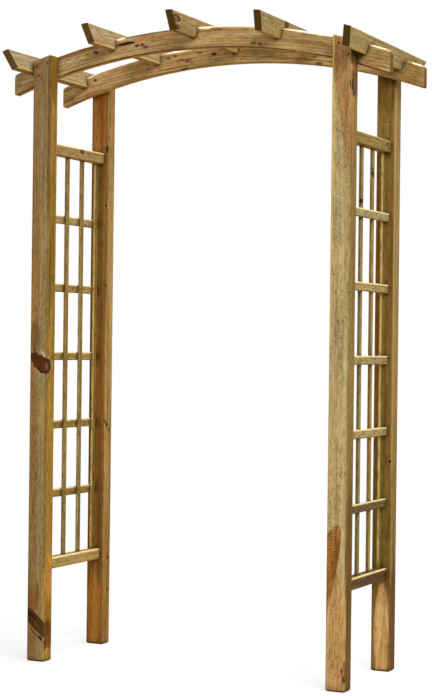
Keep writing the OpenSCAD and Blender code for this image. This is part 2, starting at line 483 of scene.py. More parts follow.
def paint_grain(g, colour, look, late, moved, fibre, mottle):
    """Rings, long streaks and bands, fibres, and the patchy warm and green of treated pine."""
    streak = g.noise(moved, STREAKS)
    band = g.noise(moved, BANDS)
    hue = g.noise(moved, HUES)
    colour = g.tint(colour, LATE_WOOD, g.product(late, look.get("contrast", 0.55)))
    colour = g.tint(colour, STREAKED, g.step(streak, 0.46, 0.72, 0.0, look.get("streaks", 0.6)))
    colour = uneven(g, colour, band, 0.2, look.get("bands", 0.5))
    colour = uneven(g, colour, fibre, 0.25, 0.75)
    colour = uneven(g, colour, mottle, 0.17, look.get("mottle", 0.7))
    return uneven(g, colour, hue, 0.2, look.get("hue", 0.55), WARM, GREENISH)


def timber(name, place, look):
    """One stick's own material. place is the function that gives where a point lies in the stick,
    and look is what shows on it."""
    material = bpy.data.materials.new("timber_" + name)
    g = empty_tree(material)
    local, ending, half_b, half_c, span = place(g, name)
    seed = look["seed"]
    normal = g.here()["Normal"]
    moved = g.vector("ADD", local, (seed, seed * 1.7, seed * 0.6))

    crumbly = g.minus(g.noise(moved, CRUMBS), 0.5)
    frayed = g.minus(g.noise(moved, FRAYS, detail=3.0), 0.5)
    knots, lift = add_knots(g, local, crumbly, look)
    pith, drift, bow = [metres(look.get(key, STRAIGHT)) for key in ("pith", "drift", "bow")]
    rings = g.use(RINGS, {"Local": local, "Moved": moved, "Pith": pith, "Drift": drift, "Bend": bow,
                          "Span": span, "Spacing": look.get("spacing", 5.0) * MM, "Lift": lift})
    late = rings["Late"]
    fibre = g.noise(moved, FIBRES, detail=3.0, roughness=0.65)
    cloud = g.noise(moved, CLOUDS, detail=3.0)
    mottle = g.noise(moved, MOTTLES, detail=3.0, roughness=0.6)

    colour = base_tone(g, look, rings["Radius"], normal)
    colour = paint_cathedrals(g, colour, local, frayed, look)
    washed = g.step(cloud, 0.45, 0.72, 0.0, look.get("green", 0.35))
    colour = g.mix(colour, linear(look.get("wash", OLIVE)), washed)
    colour = paint_patches(g, colour, local, frayed, look.get("patches", []))
    colour = paint_grain(g, colour, look, late, moved, fibre, mottle)
    if "specks" in look:
        dots = g.noise(moved, DOTS, detail=1.0)
        sideways = g.math("ABSOLUTE", g.split(normal)[0])
        much = g.step(sideways, 0.55, 0.85, look["specks"], 1.8 * look["specks"])
        dots = g.product(g.step(dots, 0.58, 0.68), g.step(cloud, 0.4, 0.53), much)
        colour = g.tint(colour, MILDEW, g.math("MINIMUM", dots, 1.0))
    colour = paint_arrises(g, colour, local, half_b, half_c, mottle, look)
    colour = paint_knots(g, colour, knots)
    colour = paint_patches(g, colour, local, crumbly, look.get("marks", []))

    # Faces that look down are tinted darker and warmer: painted shade and warm bounce light on the
    # undersides.
    down = g.step(g.split(normal)[2], -0.4, -0.8, 0.0, look.get("under", 1.0))
    colour = g.tint(colour, UNDERSIDE_SHADE, down)
    end_tone = g.tint(linear(look.get("end", END_GRAIN)), LATE_WOOD, g.product(late, 0.9))
    end_tone = g.tint(end_tone, FIBRE_LIGHT, g.step(crumbly, 0.0, -0.3))
    colour = g.mix(colour, end_tone, g.step(ending, 0.5, 0.75, 0.0, 0.95))
    # Painted shade: ambient occlusion darkens the wood in corners, joints and gaps between sticks.
    corner_occlusion = g.node("AmbientOcclusion", {"Distance": 0.03}, samples=8).outputs["AO"]
    colour = g.tint(colour, CORNER_SHADE, g.step(corner_occlusion, 0.9, 0.4, 0.0, 0.85))

    height = g.sum(g.product(fibre, 0.5), g.product(late, 0.4))
    height = g.sum(height, g.product(mottle, 0.5))
    bump = g.node("Bump", {"Strength": 0.6, "Distance": 0.001, "Height": height})
    rough = g.step(g.sum(fibre, g.product(late, -0.4)), 0.2, 0.9, 0.6, 0.85)
    shader = g.node("BsdfPrincipled", {
        "Base Color": colour, "Roughness": rough, "Normal": bump.outputs[0],
        "Specular IOR Level": 0.08, "IOR": 1.45})
    g.node("OutputMaterial", {0: shader.outputs[0]})
    return material


def dress(name, place, look):
    """Gives a CAD node its own timber."""
    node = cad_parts[name]
    node.data.materials.clear()
    node.data.materials.append(timber(name, place, look))


# ---- Looks of the sticks ----

def half_mm(length):
    return length / 2 / MM


# b of a post's right-hand face and c of its front, b of an arch's front, b of a rafter's right
SIDE = half_mm(size("post_front_left").x)
FRONT = -half_mm(size("post_front_left").y)
BROAD = -half_mm(size("arch_front").y)
FACE = half_mm(RAFTER_THICKNESS)


def on(maker, deep, b=None, c=None):
    """A maker for one face of a stick. It takes the place across the face, the place along the stick,
    and a size whose depth may be left out."""
    def placed(across, along, half, *rest, **edge):
        if len(half) == 2:
            half = (half[0], deep, half[1]) if b is None else (deep, *half)
        at = (across, c, along) if b is None else (b, across, along)
        return maker(at, half, *rest, **edge)
    return placed


# Patches on a post's front and right-hand side, an arch's front and a rafter's right side
front, flank = on(patch, 6, c=FRONT), on(patch, 9, b=SIDE)
broad, cheek = on(patch, 8, b=BROAD), on(patch, 4, b=FACE)
# Patches that run through an arch from front to back
through = on(patch, 30, b=0)
# Blots on a post's front and an arch's front
dot, spot = on(blot, 6, c=FRONT), on(blot, 8, b=BROAD)


def front_left_post():
    dark, pale = (84, 54, 22), (178, 144, 86)
    knots = [
        knot((14, FRONT, 1048), (26, 27, 27), 122, (94, 48, 26), 9, 0.1, 8, 1.0),
        knot((-5, FRONT, 661), (6, 6, 9), tone=(140, 108, 66), halo=0.2, rim=0.5),
        knot((4, 27, 1570), (11, 10, 13), 100), knot((-16, 27, 520), (9, 9, 12), 80),
        knot((-35, 4, 890), (9, 14, 10)),
    ]
    patches = [
        front(-4, 1850, (46, 8, 420), (152, 126, 86), soft=0.4),
        front(-14, 1140, (27, 74), (118, 88, 52), 0.8, soft=0.4, fray=0.4),
        front(-18, 850, (16, 90), (176, 136, 84), 0.5), front(18, 850, (16, 95), (196, 166, 108), 0.7),
        front(-16, 218, (24, 8, 60), (152, 102, 50), 0.8), front(6, 235, (6, 60), (100, 70, 36), 0.75),
        front(29, 245, (18, 10, 90), pale, 0.9, soft=0.25, fray=0.4),
        front(0, 140, (26, 75, 95), dark, 0.96, 132, 0.2, 0.4),
        front(-20, 160, (14, 20, 44), (56, 32, 16), 0.8, 132),
        front(4, 132, (6, 20, 60), (112, 74, 32), lean=132),
        flank(2, 98, (36, 60), (106, 70, 24), 0.9, soft=0.3, fray=0.6),
        # The next four patches make the right-hand side darker towards the top and lighter near the
        # foot: painted shade under the arches and rafters, painted light near the ground.
        flank(0, 1850, (34, 120), (142, 112, 62), 0.8), flank(0, 1540, (34, 330), (132, 102, 30), 0.8),
        flank(0, 2060, (34, 130), (122, 90, 30), 0.8), flank(0, 300, (34, 110), (208, 156, 74), 0.9),
        flank(14, 1100, (14, 500), (134, 108, 40), 0.5),
        flank(-14, 1330, (12, 210), (104, 90, 34), 0.75, fray=1.2),
    ]
    marks = [
        front(-14, 1064, (17, 12, 40), (90, 46, 18), 0.97, 122, 0.25),
        front(-16, 1075, (30, 12, 13), (80, 43, 18), 0.97, 4, 0.35),
        front(-12, 1085, (28, 10, 6), (56, 32, 18), 0.8, soft=0.8),
        front(16, 1044, (14, 12, 12), (108, 46, 26), soft=0.9),
        front(-4, 1062, (5, 8, 26), (62, 32, 18), 0.7, 122, 0.8),
        patch((31, -24, 1041), (9, 10, 20), (114, 86, 48), 0.75, soft=0.6),
        flank(-3, 1038, (6, 4, 20), (50, 28, 14), 0.8, soft=0.6),
        flank(-13, 1019, (6, 9, 7), (50, 28, 14), 0.8, soft=0.6),
        front(17, 1071, (3, 8, 15), (48, 26, 14), 0.8, 138, 0.6),
        front(30, 1016, (8, 10, 8), (46, 24, 14), 0.8, 40),
        front(19, 1084, (7.5, 21), (206, 188, 150), 0.85, -30, 0.6),
        front(29, 1120, (5, 50), (176, 126, 62)), flank(8, 1046, (6, 5, 24), (208, 172, 110), soft=0.7),
        front(-5, 1028, (2.5, 24), (196, 158, 108), 0.7, 132, 0.6),
        front(26, 106, (12, 14, 30), (94, 60, 28), 0.8, 132),
        front(8, 91, (2.6, 20, 66), (38, 26, 12), 0.95, 132, fray=0.4),
        front(4, 101, (2.4, 20, 60), (156, 128, 72), 0.7, 132, fray=0.3),
        front(20, 86, (6, 8, 14), (40, 28, 12), 0.9, 132),
        flank(-19, 62, (8, 9, 30), (84, 56, 22), 0.85), front(-9, 88, (2, 15), (112, 84, 44), 0.7, 14),
        front(9, 76, (2, 18), (112, 84, 44), 0.7, -16), flank(-8, 36, (8, 8, 13), (206, 144, 84), 0.7),
        dot(-20, 2098, (12, 12), (96, 52, 28), 0.7),
        dot(-22, 2060, (7, 30), (122, 74, 40), 0.7),
        crack((-16, FRONT, 686), 48, 150, 1.6), crack((2, FRONT, 684), 46, 22, 1.6),
        crack((-6, FRONT, 650), 40, 5, 2.4), crack((-17, FRONT, 540), 240, 5, 1.8),
        crack((11, FRONT, 2006), 14), crack((11, FRONT, 1298), 26),
    ]
    arrises = [
        arris(1, -1, 9, (124, 94, 42), 0.75, 350, 1480),
        arris(1, -1, 11, (98, 68, 32), 0.85, 1560, 2300), arris(1, 1, 9, (150, 124, 56), 0.5),
    ]
    return dict(seed=1.3, tone=(166, 148, 106), side=(158, 124, 48), heart=(63, (156, 124, 78)),
                pith=(-55, 0, 0), specks=0.8, green=0.25, knots=knots, patches=patches, marks=marks,
                arrises=arrises)


def front_right_post():
    red, shadow = (176, 134, 84), (84, 60, 26)
    cathedrals = [cathedral((7, FRONT, 545), (38, 24, 100), (176, 120, 58), 20)]
    knots = [
        knot((SIDE, -20, 1972), (9, 13, 17), tone=(62, 54, 30), push=9, halo=0.1, rim=0.9),
        knot((-10, 27, 1180), (10, 10, 13), 75), knot((14, 27, 400), (8, 9, 10), 110),
        knot((-35, 2, 1480), (9, 13, 10)),
    ]
    patches = [
        front(59, 1831, (60, 22, 420), red, 0.92, -11, 0.06, 0.15),
        front(32, 2060, (6, 60), (196, 168, 116)), front(0, 760, (40, 8, 330), (200, 172, 118), 0.4),
        front(-8, 1540, (22, 110), (152, 152, 118), 0.45),
        front(4, 140, (60, 8, 260), (202, 158, 98), 0.8),
        # The flank patches here and on the next two lines are painted shade on the right-hand side:
        # shadow under the rafter and arch at the top, the bottom rail's shadow lower down, and shade at
        # the foot.
        front(30, 60, (12, 8, 50), (150, 98, 54), 0.7), flank(0, 2110, (60, 92), shadow, 0.9, soft=0.3),
        flank(0, 1980, (60, 60), (90, 57, 25), 0.8), flank(0, 440, (12, 44, 330), (112, 80, 35), 0.9),
        flank(0, 100, (12, 34, 260), (116, 86, 50), 0.9, soft=0.4),
    ]
    marks = [
        front(32, 1972, (3, 34), (196, 160, 104), 0.45, 4, 0.6),
        flank(-4, 1980, (6, 2.5, 30), (150, 118, 66), 0.5, soft=0.6),
        blot((SIDE, -14, 1946), (6, 7, 16), (46, 36, 18)),
        flank(-22, 1760, (6, 5, 190), (92, 66, 32), 0.7, soft=0.6),
        front(-34, 230, (4, 8, 150), (132, 66, 30), 0.7, 3),
        dot(-13, 1298, (4, 4, 4), (122, 74, 46)),
        dot(4, 1300, (3, 4, 4), (122, 74, 46)),
        dot(30, 1297, (4, 4, 4), (122, 74, 46)), crack((12, FRONT, 708), 34, 25),
        crack((11, FRONT, 700), 26, -30), dot(30, 40, (6, 12), (84, 54, 26)),
        dot(22, 70, (3, 5, 9)), dot(31, 95, (3, 5, 8)),
        dot(14, 52, (3, 5, 5)),
    ]
    arrises = [
        # The pale golden left front edge is a painted highlight.
        arris(-1, -1, 8, (232, 184, 92), 0.85, 1150, 2200),
        arris(-1, -1, 6, (200, 164, 92), 0.6, 600, 1150),
        arris(1, -1, 7, (118, 90, 46), 0.55, 300, 1900),
    ]
    return dict(seed=2.9, tone=(190, 173, 128), side=(142, 118, 66), pith=(60, 90, 0),
                drift=(-20, 0, 0), specks=0.95, green=0.3, contrast=0.4, hue=0.4,
                cathedrals=cathedrals, knots=knots, patches=patches, marks=marks, arrises=arrises)


def back_left_post():
    knots = [
        knot((32, FRONT, 1849), (7, 9, 15), tone=(88, 56, 30), push=7, halo=0.1, rim=0.4),
        knot((30, FRONT, 1639), (5, 5, 6), tone=(74, 48, 24), push=5, halo=0.1),
        knot((31, FRONT, 1340), (5, 5, 5), 110, (76, 46, 24), halo=0.1),
        knot((SIDE, 8, 324), (7, 10, 7), tone=(90, 60, 30), halo=0.1),
        knot((SIDE, 6, 204), (6, 8, 6), 30, (90, 60, 30), 3, 0.1),
        knot((-6, 27, 1240), (10, 10, 13), 75), knot((-35, 0, 560), (9, 14, 10)),
    ]
    patches = [
        front(0, 1960, (45, 8, 190), (182, 126, 60), 0.85),
        front(0, 110, (45, 8, 190), (182, 128, 54), 0.8),
        flank(12, 1400, (8, 14, 330), (178, 146, 96), 0.5),
        flank(-8, 250, (8, 34, 360), (142, 102, 46), 0.7),
        flank(-8, 760, (8, 20, 260), (168, 124, 72), 0.5),
    ]
    marks = [
        dot(33, 836, (7, 8), (74, 48, 24)),
        blot((SIDE, -18, 826), (6, 9, 9), (66, 40, 22)),
        blot((SIDE, -8, 815), (6, 11, 13), (66, 38, 22)),
        blot((SIDE, 3, 803), (6, 11, 13), (62, 34, 20)),
        flank(-3, 811, (6, 6, 6), (196, 156, 122), 0.85),
        front(33, 1500, (6, 8, 300), (112, 76, 40), 0.5),
        flank(-4, 1030, (6, 4, 150), (176, 116, 82), 0.5), crack((SIDE, -12, 1960), 90, width=3.0),
        crack((29, FRONT, 1310), 40, -14),
        crack((-30, FRONT, 1100), 900, width=1.6, tone=(84, 54, 24), amount=0.5),
    ]
    arrises = [arris(-1, -1, 6, (96, 60, 26), 0.6, 1000, 2200)]
    return dict(seed=4.1, tone=(147, 110, 57), side=(162, 134, 80), heart=(83, (138, 97, 44)),
                pith=(-60, 0, 0), green=0.2, wash=(146, 100, 50), bands=0.8, knots=knots,
                patches=patches, marks=marks, arrises=arrises)


def back_right_post():
    knots = [
        knot((27, FRONT, 727), (6, 6, 7), tone=(84, 54, 26), push=5, halo=0.2),
        knot((0, 27, 960), (11, 10, 13), 100), knot((-35, -4, 1720), (9, 12, 9)),
    ]
    patches = [
        front(4, 1892, (26, 5, 4), (170, 134, 90), soft=0.7),
        # An orange strip down the left of the front: painted light where the front shows between the
        # uprights.
        front(-26, 1250, (12, 8, 640), (150, 98, 40), 0.85),
        front(0, 2000, (45, 8, 90), (112, 80, 36), 0.7),
        # A paler foot on the front: painted light below the panel.
        front(4, 120, (30, 12, 210), (218, 180, 120), 0.95, soft=0.2, fray=0.3),
        front(-33, 160, (7, 8, 190), (150, 96, 46), 0.8),
        front(12, 1500, (20, 8, 300), (128, 96, 42), 0.4),
        # A darker foot on the right-hand side: painted shade.
        flank(0, 160, (12, 34, 330), (96, 70, 38), 0.9, soft=0.4),
        flank(0, 640, (12, 34, 300), (132, 104, 56)),
    ]
    arrises = [arris(1, -1, 7, (188, 158, 104), 0.4, 700, 2000)]
    return dict(seed=5.7, tone=(136, 110, 56), side=(152, 128, 76), hue=0.25, pith=(20, 70, 0),
                drift=(20, 0, 0), green=0.1, bands=0.3, knots=knots, patches=patches, arrises=arrises)


def dress_posts():
    looks = {"post_front_left": front_left_post(), "post_front_right": front_right_post(),
             "post_back_left": back_left_post(), "post_back_right": back_right_post()}
    for name, look in looks.items():
        dress(name, along_z, {**look, "end": (148, 108, 56)})


def painted_arris_highlight(at_a, length, deep=9):
    """A painted highlight along a stretch of an arch's front top arris, where the light from above
    catches it.
    """
    return broad(35, at_a, (9, deep, length / 2), TOP_ARRIS_HIGHLIGHT, 1.0, soft=0.3, fray=0.5)


def front_arch():
    red, brown, orange = (100, 50, 30), (88, 56, 30), (188, 128, 76)
    knots = [
        knot((BROAD, 6, -376), (6, 4, 4), tone=red, push=10, halo=0.2, rim=0.4),
        knot((-BROAD, -8, 330), (6, 9, 12)), knot((-BROAD, 10, -480), (6, 8, 10)),
    ]
    patches = [
        through(-6, -560, (36, 200), (226, 200, 150), 0.85, soft=0.3),
        through(10, 400, (30, 230), (160, 136, 88), 0.75, soft=0.4),
        through(26, -420, (11, 190), (166, 112, 72), 0.7, soft=0.4),
        broad(4, -366, (11, 30), (206, 142, 84), 0.85, 6),
        through(17, -130, (17, 150), (184, 134, 88), 0.7, soft=0.3),
        broad(3, -120, (2.4, 130), (140, 84, 54), 0.7, 3, 0.6),
        through(18, 110, (18, 150), (156, 126, 84), soft=0.4),
        broad(2, 440, (10, 150), (150, 104, 66), 0.5, -4),
        through(0, 650, (40, 130), (154, 122, 72), 0.7),
        broad(27, 455, (5, 110), (120, 92, 52), 0.5, soft=0.6),
        broad(31, -150, (4, 90), (120, 100, 56), 0.7, soft=0.4),
        broad(-10, 430, (18, 100), (142, 120, 80)),
    ]
    marks = [
        broad(13, -262, (7, 46), (60, 28, 18), 1.0, 4, 0.3, 0.6),
        broad(17, -212, (5, 34), (176, 108, 66), 0.4), spot(-2, -216, (7, 14), red, 1.0),
        spot(-2, -198, (8, 10), red), spot(-11, -186, (7, 11), red),
        spot(25, 86, (6, 26), (108, 70, 40), 0.8), spot(21, 50, (4, 34), (150, 98, 56), 0.6),
        spot(-20, 226, (5, 20), brown, 0.8), spot(-22, 254, (7, 13), brown, 0.8),
        spot(-17, 274, (5, 14), orange), spot(-13, 205, (4, 24), orange),
        spot(10, -384, (6, 9), (84, 38, 24)), broad(12, -560, (2, 150), (112, 80, 46), 0.7, 2, 0.6),
        broad(0, -600, (1.8, 130), (96, 70, 40), 0.7, -1, 0.6),
        broad(-12, -560, (1.5, 120), (112, 82, 48), 0.7, 1, 0.6),
        broad(-20, -470, (1.8, 130), (84, 60, 34), 0.7, -2, 0.6),
        broad(-8, -400, (1.5, 90), (104, 76, 46), lean=3, soft=0.6),
        spot(32, -560, (9, 5, 46), (70, 44, 24), 0.8), spot(29, -500, (9, 4, 60), (130, 74, 44), 0.7),
        # The pale stretches along the top arris at the end of this list are painted highlights.
        spot(34, -440, (9, 4, 30), (64, 44, 22), 0.8), painted_arris_highlight(-280, 52), painted_arris_highlight(44, 66),
        painted_arris_highlight(434, 190, 8), painted_arris_highlight(676, 60, 5),
    ]
    arrises = [
        # The cream arris along the top is a painted highlight.
        arris(-1, -1, 7, (98, 68, 30), 0.75), arris(-1, 1, 7, PALE_TOP_HIGHLIGHT, 0.7, 40, 720),
        arris(-1, 1, 8, (112, 88, 46), 0.7, -720, -30),
    ]
    return dict(seed=7.1, tone=(192, 164, 116), pith=(30, -90, 0), drift=(0, 40, 0), bow=(0, 60, 0),
                contrast=0.65, green=0.15, knots=knots, patches=patches, marks=marks, arrises=arrises)


def back_arch():
    red, dark, orange = (92, 48, 28), (62, 38, 20), (190, 130, 76)
    knots = [knot((-BROAD, 4, -330), (6, 9, 12)), knot((-BROAD, -10, 250), (6, 7, 9))]
    patches = [
        through(0, -560, (44, 200), (216, 184, 134), 0.8, soft=0.3),
        through(-20, -250, (16, 200), (200, 166, 112), soft=0.4),
        through(20, -400, (14, 160), (178, 130, 84), 0.5),
        through(2, 110, (40, 190), (118, 92, 48), 0.85),
        broad(-22, -230, (3, 100), (84, 58, 32), 0.8, soft=0.6),
        broad(-20, 300, (2.5, 220), (98, 72, 38), soft=0.6),
        # The second patch on the next line is a painted shadow beside the last rafter, near the right
        # end.
        broad(0, 650, (44, 130), (146, 116, 64), 0.75), broad(26, 590, (12, 40), (74, 54, 28), 0.7),
    ]
    marks = [
        spot(15, -578, (6, 8), (34, 22, 14)), spot(17, -270, (6, 18), dark, 0.6),
        spot(20, -243, (5, 11), dark, 0.7), spot(0, -214, (7, 28), red, 0.75, 4),
        spot(-5, -190, (8, 20), red, 0.75), spot(-14, -176, (5, 13), dark, 0.6),
        spot(16, -141, (6, 16), dark, 0.75), spot(4, -84, (8, 20), dark, 0.95, 20),
        spot(6, -60, (5, 16), orange), spot(13, -158, (5, 22), orange, 0.5),
        spot(-33, -205, (6, 20), dark), spot(4, -232, (5, 46), orange, 0.3),
        broad(-16, -700, (3, 44), (54, 38, 22), 0.8, -14),
        broad(-25, -620, (2, 100), (90, 64, 36), 0.7), broad(-29, 330, (9, 6, 22), (60, 42, 22), 0.8),
        # The pale stretches along the top arris on this line are painted highlights.
        painted_arris_highlight(-215, 150, 7), painted_arris_highlight(-592, 40, 6), painted_arris_highlight(40, 70), painted_arris_highlight(690, 50, 5),
    ]
    # The cream arris along the top is a painted highlight.
    arrises = [arris(-1, -1, 6, (160, 118, 64), 0.5), arris(-1, 1, 6, PALE_TOP_HIGHLIGHT, 0.5, -300, 100)]
    return dict(seed=8.4, tone=(182, 152, 104), pith=(30, -90, 0), drift=(0, -40, 0), bow=(0, 60, 0),
                contrast=0.6, green=0.2, knots=knots, patches=patches, marks=marks, arrises=arrises)


def dress_arches():
    # under: how far the arches' undersides get the painted warm shade
    shared = dict(spacing=8.5, streaks=0.7, bands=0.55, mottle=0.8, hue=0.4, under=0.6,
                  end=(100, 78, 38))
    for name, look in {"arch_front": front_arch(), "arch_back": back_arch()}.items():
        dress(name, along_arch, {**shared, **look})


def rafter_details():
    """What sets each rafter apart, from the left."""
    pink = (164, 120, 88)
    return [
        dict(patches=[cheek(-22, -250, (5, 120), pink, 0.35),
                      cheek(4, -250, (3, 130), (132, 116, 80), 0.5)]),
        dict(patches=[cheek(-16, -250, (7, 130), pink, 0.4), cheek(6, -240, (4, 140), pink, 0.3),
                      cheek(-24, -270, (1.8, 130), (100, 74, 46), 0.4)]),
        dict(knots=[knot((FACE, 9, -334), (8, 12, 26), 0, (118, 90, 54), 8, 0.2, rim=1.0)],
             marks=[blot((FACE, 12, -326), (5, 4, 9), BARK), blot((FACE, -22, -340), (5, 8, 22), BARK),
                    blot((FACE, -2, -352), (5, 9, 14), (70, 52, 28))],
             patches=[cheek(-20, -330, (5, 14, 36), (92, 70, 38), 0.8, soft=0.6),
                      cheek(-18, -235, (11, 30), (112, 108, 74)),
                      cheek(26, -250, (6, 120), (156, 112, 74), 0.5)]),
        dict(knots=[knot((FACE, 23, -152), (8, 14, 26), 20, (98, 68, 38), 7, 0.2, rim=0.6)],
             patches=[cheek(8, -268, (11, 20), (108, 122, 88)),
                      cheek(-5, -195, (26, 30), (170, 138, 80), 0.5)]),
        dict(specks=0.5, patches=[cheek(-14, 50, (9, 200), (178, 160, 112), 0.4),
                                  cheek(24, 0, (6, 280), (134, 114, 66), 0.4)]),
    ]


def dress_rafters():
    tones = [(142, 126, 98), (156, 138, 108), (144, 124, 84), (160, 144, 100), (166, 150, 104)]
    edges = [(6, (206, 184, 130)), (6, (206, 184, 130)), (5, (176, 142, 76), 0.5),
             (5, (170, 140, 76), 0.4), (5, (186, 158, 92), 0.4)]
    for i, details in enumerate(rafter_details()):
        look = dict(seed=11.3 + i, tone=tones[i], green=0.4, mottle=0.8, spacing=6.0, drift=(0, 30, 0),
                    pith=(40, 60 - 24 * i, 0), arrises=[arris(1, -1, *edges[i])],
                    end=(98, 76, 36) if i < 2 else END_GRAIN)
        look.update(details)
        dress(RAFTERS[i], along_rafter, look)


def dress_rails():
    """Each rail's tone, and how strong the painted highlight along its top inside edge is. The top
    rails have a knot each.
    """
    rails = {"top_rail_left": ((164, 140, 96), 0.9), "top_rail_right": ((144, 122, 70), 0.3),
             "bottom_rail_left": ((168, 144, 88), 0.9), "bottom_rail_right": ((92, 70, 40), 0.9)}
    knots = {"top_rail_left": [knot((19, 7, 20), (6, 8, 15), 0, (124, 70, 44), 5, 0.2)],
             "top_rail_right": [knot((19, 2, 140), (6, 7, 14), 0, (120, 88, 50), 4, 0.2)]}
    patches = {"top_rail_right": [patch((19, 0, 160), (6, 24, 24), (100, 82, 44), 0.7)]}
    for i, (name, (tone, pale)) in enumerate(rails.items()):
        look = dict(seed=21.7 + i, tone=tone, pith=(30, 50 - 30 * i, 0), spacing=5.5, mottle=0.8,
                    knots=knots.get(name, []), patches=patches.get(name, []),
                    # The pale top edge is a painted highlight.
                    arrises=[arris(1, 1, 7, (240, 214, 150), pale)])
        dress(name, along_y, look)


def dress_slats():
    """Each slat's tone, from the bottom. The left ones have painted shadows beside three of the
    uprights, three right ones a knot.
    """
    tones = {
        "left": [(150, 122, 62), (148, 122, 64), (166, 142, 86), (158, 134, 76), (168, 148, 102)],
        "right": [(106, 90, 54), (168, 150, 104), (178, 160, 112), (172, 154, 106), (172, 156, 112)],
    }
    # Painted shadows that the uprights cast on the left slats.
    upright_shadows = [patch((5, 0, a), (3, 18, 11), (90, 74, 34), 0.65, soft=0.8) for a in (-71, 33, 137)]
    knots = {2: (9, -110), 3: (4, 61), 4: (-4, 43)}
    for side in SIDES:
        for i, tone in enumerate(tones[side], 1):
            name = f"slat_{side}_{i}"
            dots = [blot((5, *knots[i]), (3, 4, 5))] if i in knots else []
            look = dict(seed=31.1 + i + 7 * inside_out(name), tone=tone, contrast=0.4, mottle=1.0,
                        pith=(30, 12 * i - 60, 0), specks=1.2,
                        marks=upright_shadows if side == "left" else dots,
                        # The pale top edge, the first arris, is a painted highlight.
                        arrises=[arris(1, 1, 6, (240, 222, 170), 0.9), arris(1, -1, 4, (84, 66, 34))])
            dress(name, along_y, look)


def dress_uprights():
    """A front tone and a side tone each, from the front to the back, and each one's own knots. The two
    tones are partly the wood's own and partly painted light and shade.
    """
    tones = {
        "left": [((150, 122, 70), (150, 122, 70)), ((160, 138, 88), (144, 120, 66)),
                 ((172, 150, 104), (138, 116, 62)), ((208, 176, 114), (122, 106, 50))],
        "right": [((140, 122, 74), (140, 122, 74)), ((124, 110, 64), (150, 136, 90)),
                  ((136, 112, 60), (172, 152, 94)), ((190, 168, 102), (120, 104, 50))],
    }
    knots = {
        "upright_right_2": [blot((4, -4, 1249), (8, 16, 11), (46, 26, 14), 1.0),
                            patch((3, 0, 1228), (6, 12, 12), (206, 132, 64), 0.9)],
        "upright_right_3": [blot((5, -5, 1350), (7, 8, 26), (40, 26, 18), 1.0)],
    }
    for side in SIDES:
        for i, (thin, wide) in enumerate(tones[side], 1):
            name = f"upright_{side}_{i}"
            look = dict(seed=41.9 + i + 7 * inside_out(name), tone=thin, side=wide, contrast=0.4,
                        mottle=1.0, specks=0.7, pith=(30, 12 * i - 60, 0), marks=knots.get(name, []),
                        arrises=[arris(-1, -1, 3, (92, 72, 32)), arris(1, 1, 3.5, (96, 78, 36), 0.5)])
            dress(name, along_z, look)


dress_posts()
dress_arches()
dress_rafters()
dress_rails()
dress_slats()
dress_uprights()


# ---- Screws and nails ----

def ring(bm, radius, height, count):
    turns = [2 * math.pi * i / count for i in range(count)]
    return [bm.verts.new((radius * math.cos(t), radius * math.sin(t), height)) for t in turns]


def bridge(bm, lower, upper):
    """Side faces between two rings of as many points."""
    for i, start in enumerate(lower):
        after = (i + 1) % len(lower)
        bm.faces.new((start, lower[after], upper[after], upper[i]))


def stacked(bm, corners, *levels):
    """Rings of (radius, height) one over the other, closed at the sides and below: the top one."""
    rings = [ring(bm, radius, height, corners) for radius, height in levels]
    for lower, upper in zip(rings, rings[1:]):
        bridge(bm, lower, upper)
    bm.faces.new(reversed(rings[0]))
    return rings[-1]


def cross_outline(arm, half_width):
    """The twelve corners of a cross, counter-clockwise."""
    corners = [(arm, -half_width), (arm, half_width), (half_width, half_width)]
    while len(corners) < 12:
        x, y = corners[-3]
        corners.append((-y, x))
    return corners


def screw_head(bm):
    """A countersunk head, just proud of the wood, with a cross recess."""
    radius, sunk, rim_z, top_z, floor_z = 3.8 * MM, -1.0 * MM, 0.25 * MM, 0.5 * MM, 0.08 * MM
    arm, half_width = radius * 0.62, radius * 0.17
    top = stacked(bm, 20, (radius, sunk), (radius, rim_z), (radius * 0.9, top_z))
    corners = cross_outline(arm, half_width)
    mouth = [bm.verts.new((x, y, top_z)) for x, y in corners]
    floor = [bm.verts.new((x, y, floor_z)) for x, y in corners]
    bridge(bm, floor, mouth)
    bm.faces.new(floor)
    edges = [bm.edges.get((loop[i - 1], loop[i])) or bm.edges.new((loop[i - 1], loop[i]))
             for loop in (top, mouth) for i in range(len(loop))]
    bmesh.ops.triangle_fill(bm, use_beauty=True, edges=edges)


def nail_head(bm):
    """A small round head with a domed top."""
    radius, sunk, rim_z, dome_z = 2.2 * MM, -1.0 * MM, 0.3 * MM, 0.7 * MM
    bm.faces.new(stacked(bm, 12, (radius, sunk), (radius, rim_z), (radius * 0.6, dome_z)))


def facing(place, direction):
    """A matrix that puts +Z along direction at place."""
    turn = Vector(direction).to_track_quat("Z", "Y").to_matrix().to_4x4()
    return Matrix.Translation(place) @ turn


def steel():
    """Zinc-plated steel that has gone dull brown in treated wood."""
    material = bpy.data.materials.new("dull_steel")
    g = empty_tree(material)
    spots = g.noise(g.scaled(g.here()["Object"], 900.0), detail=3.0)
    colour = g.mix(linear((74, 62, 46)), linear((62, 36, 20)), g.step(spots, 0.4, 0.6))
    rough = g.step(spots, 0.3, 0.7, 0.4, 0.75)
    bump = g.node("Bump", {"Strength": 0.3, "Distance": 0.0002, "Height": spots})
    shader = g.node("BsdfPrincipled", {
        "Base Color": colour, "Roughness": rough, "Metallic": 0.6, "Normal": bump.outputs[0]})
    g.node("OutputMaterial", {0: shader.outputs[0]})
    return material


STEEL = steel()


def add_object(name, data):
    made = bpy.data.objects.new(name, data)
    bpy.context.scene.collection.objects.link(made)
    return made


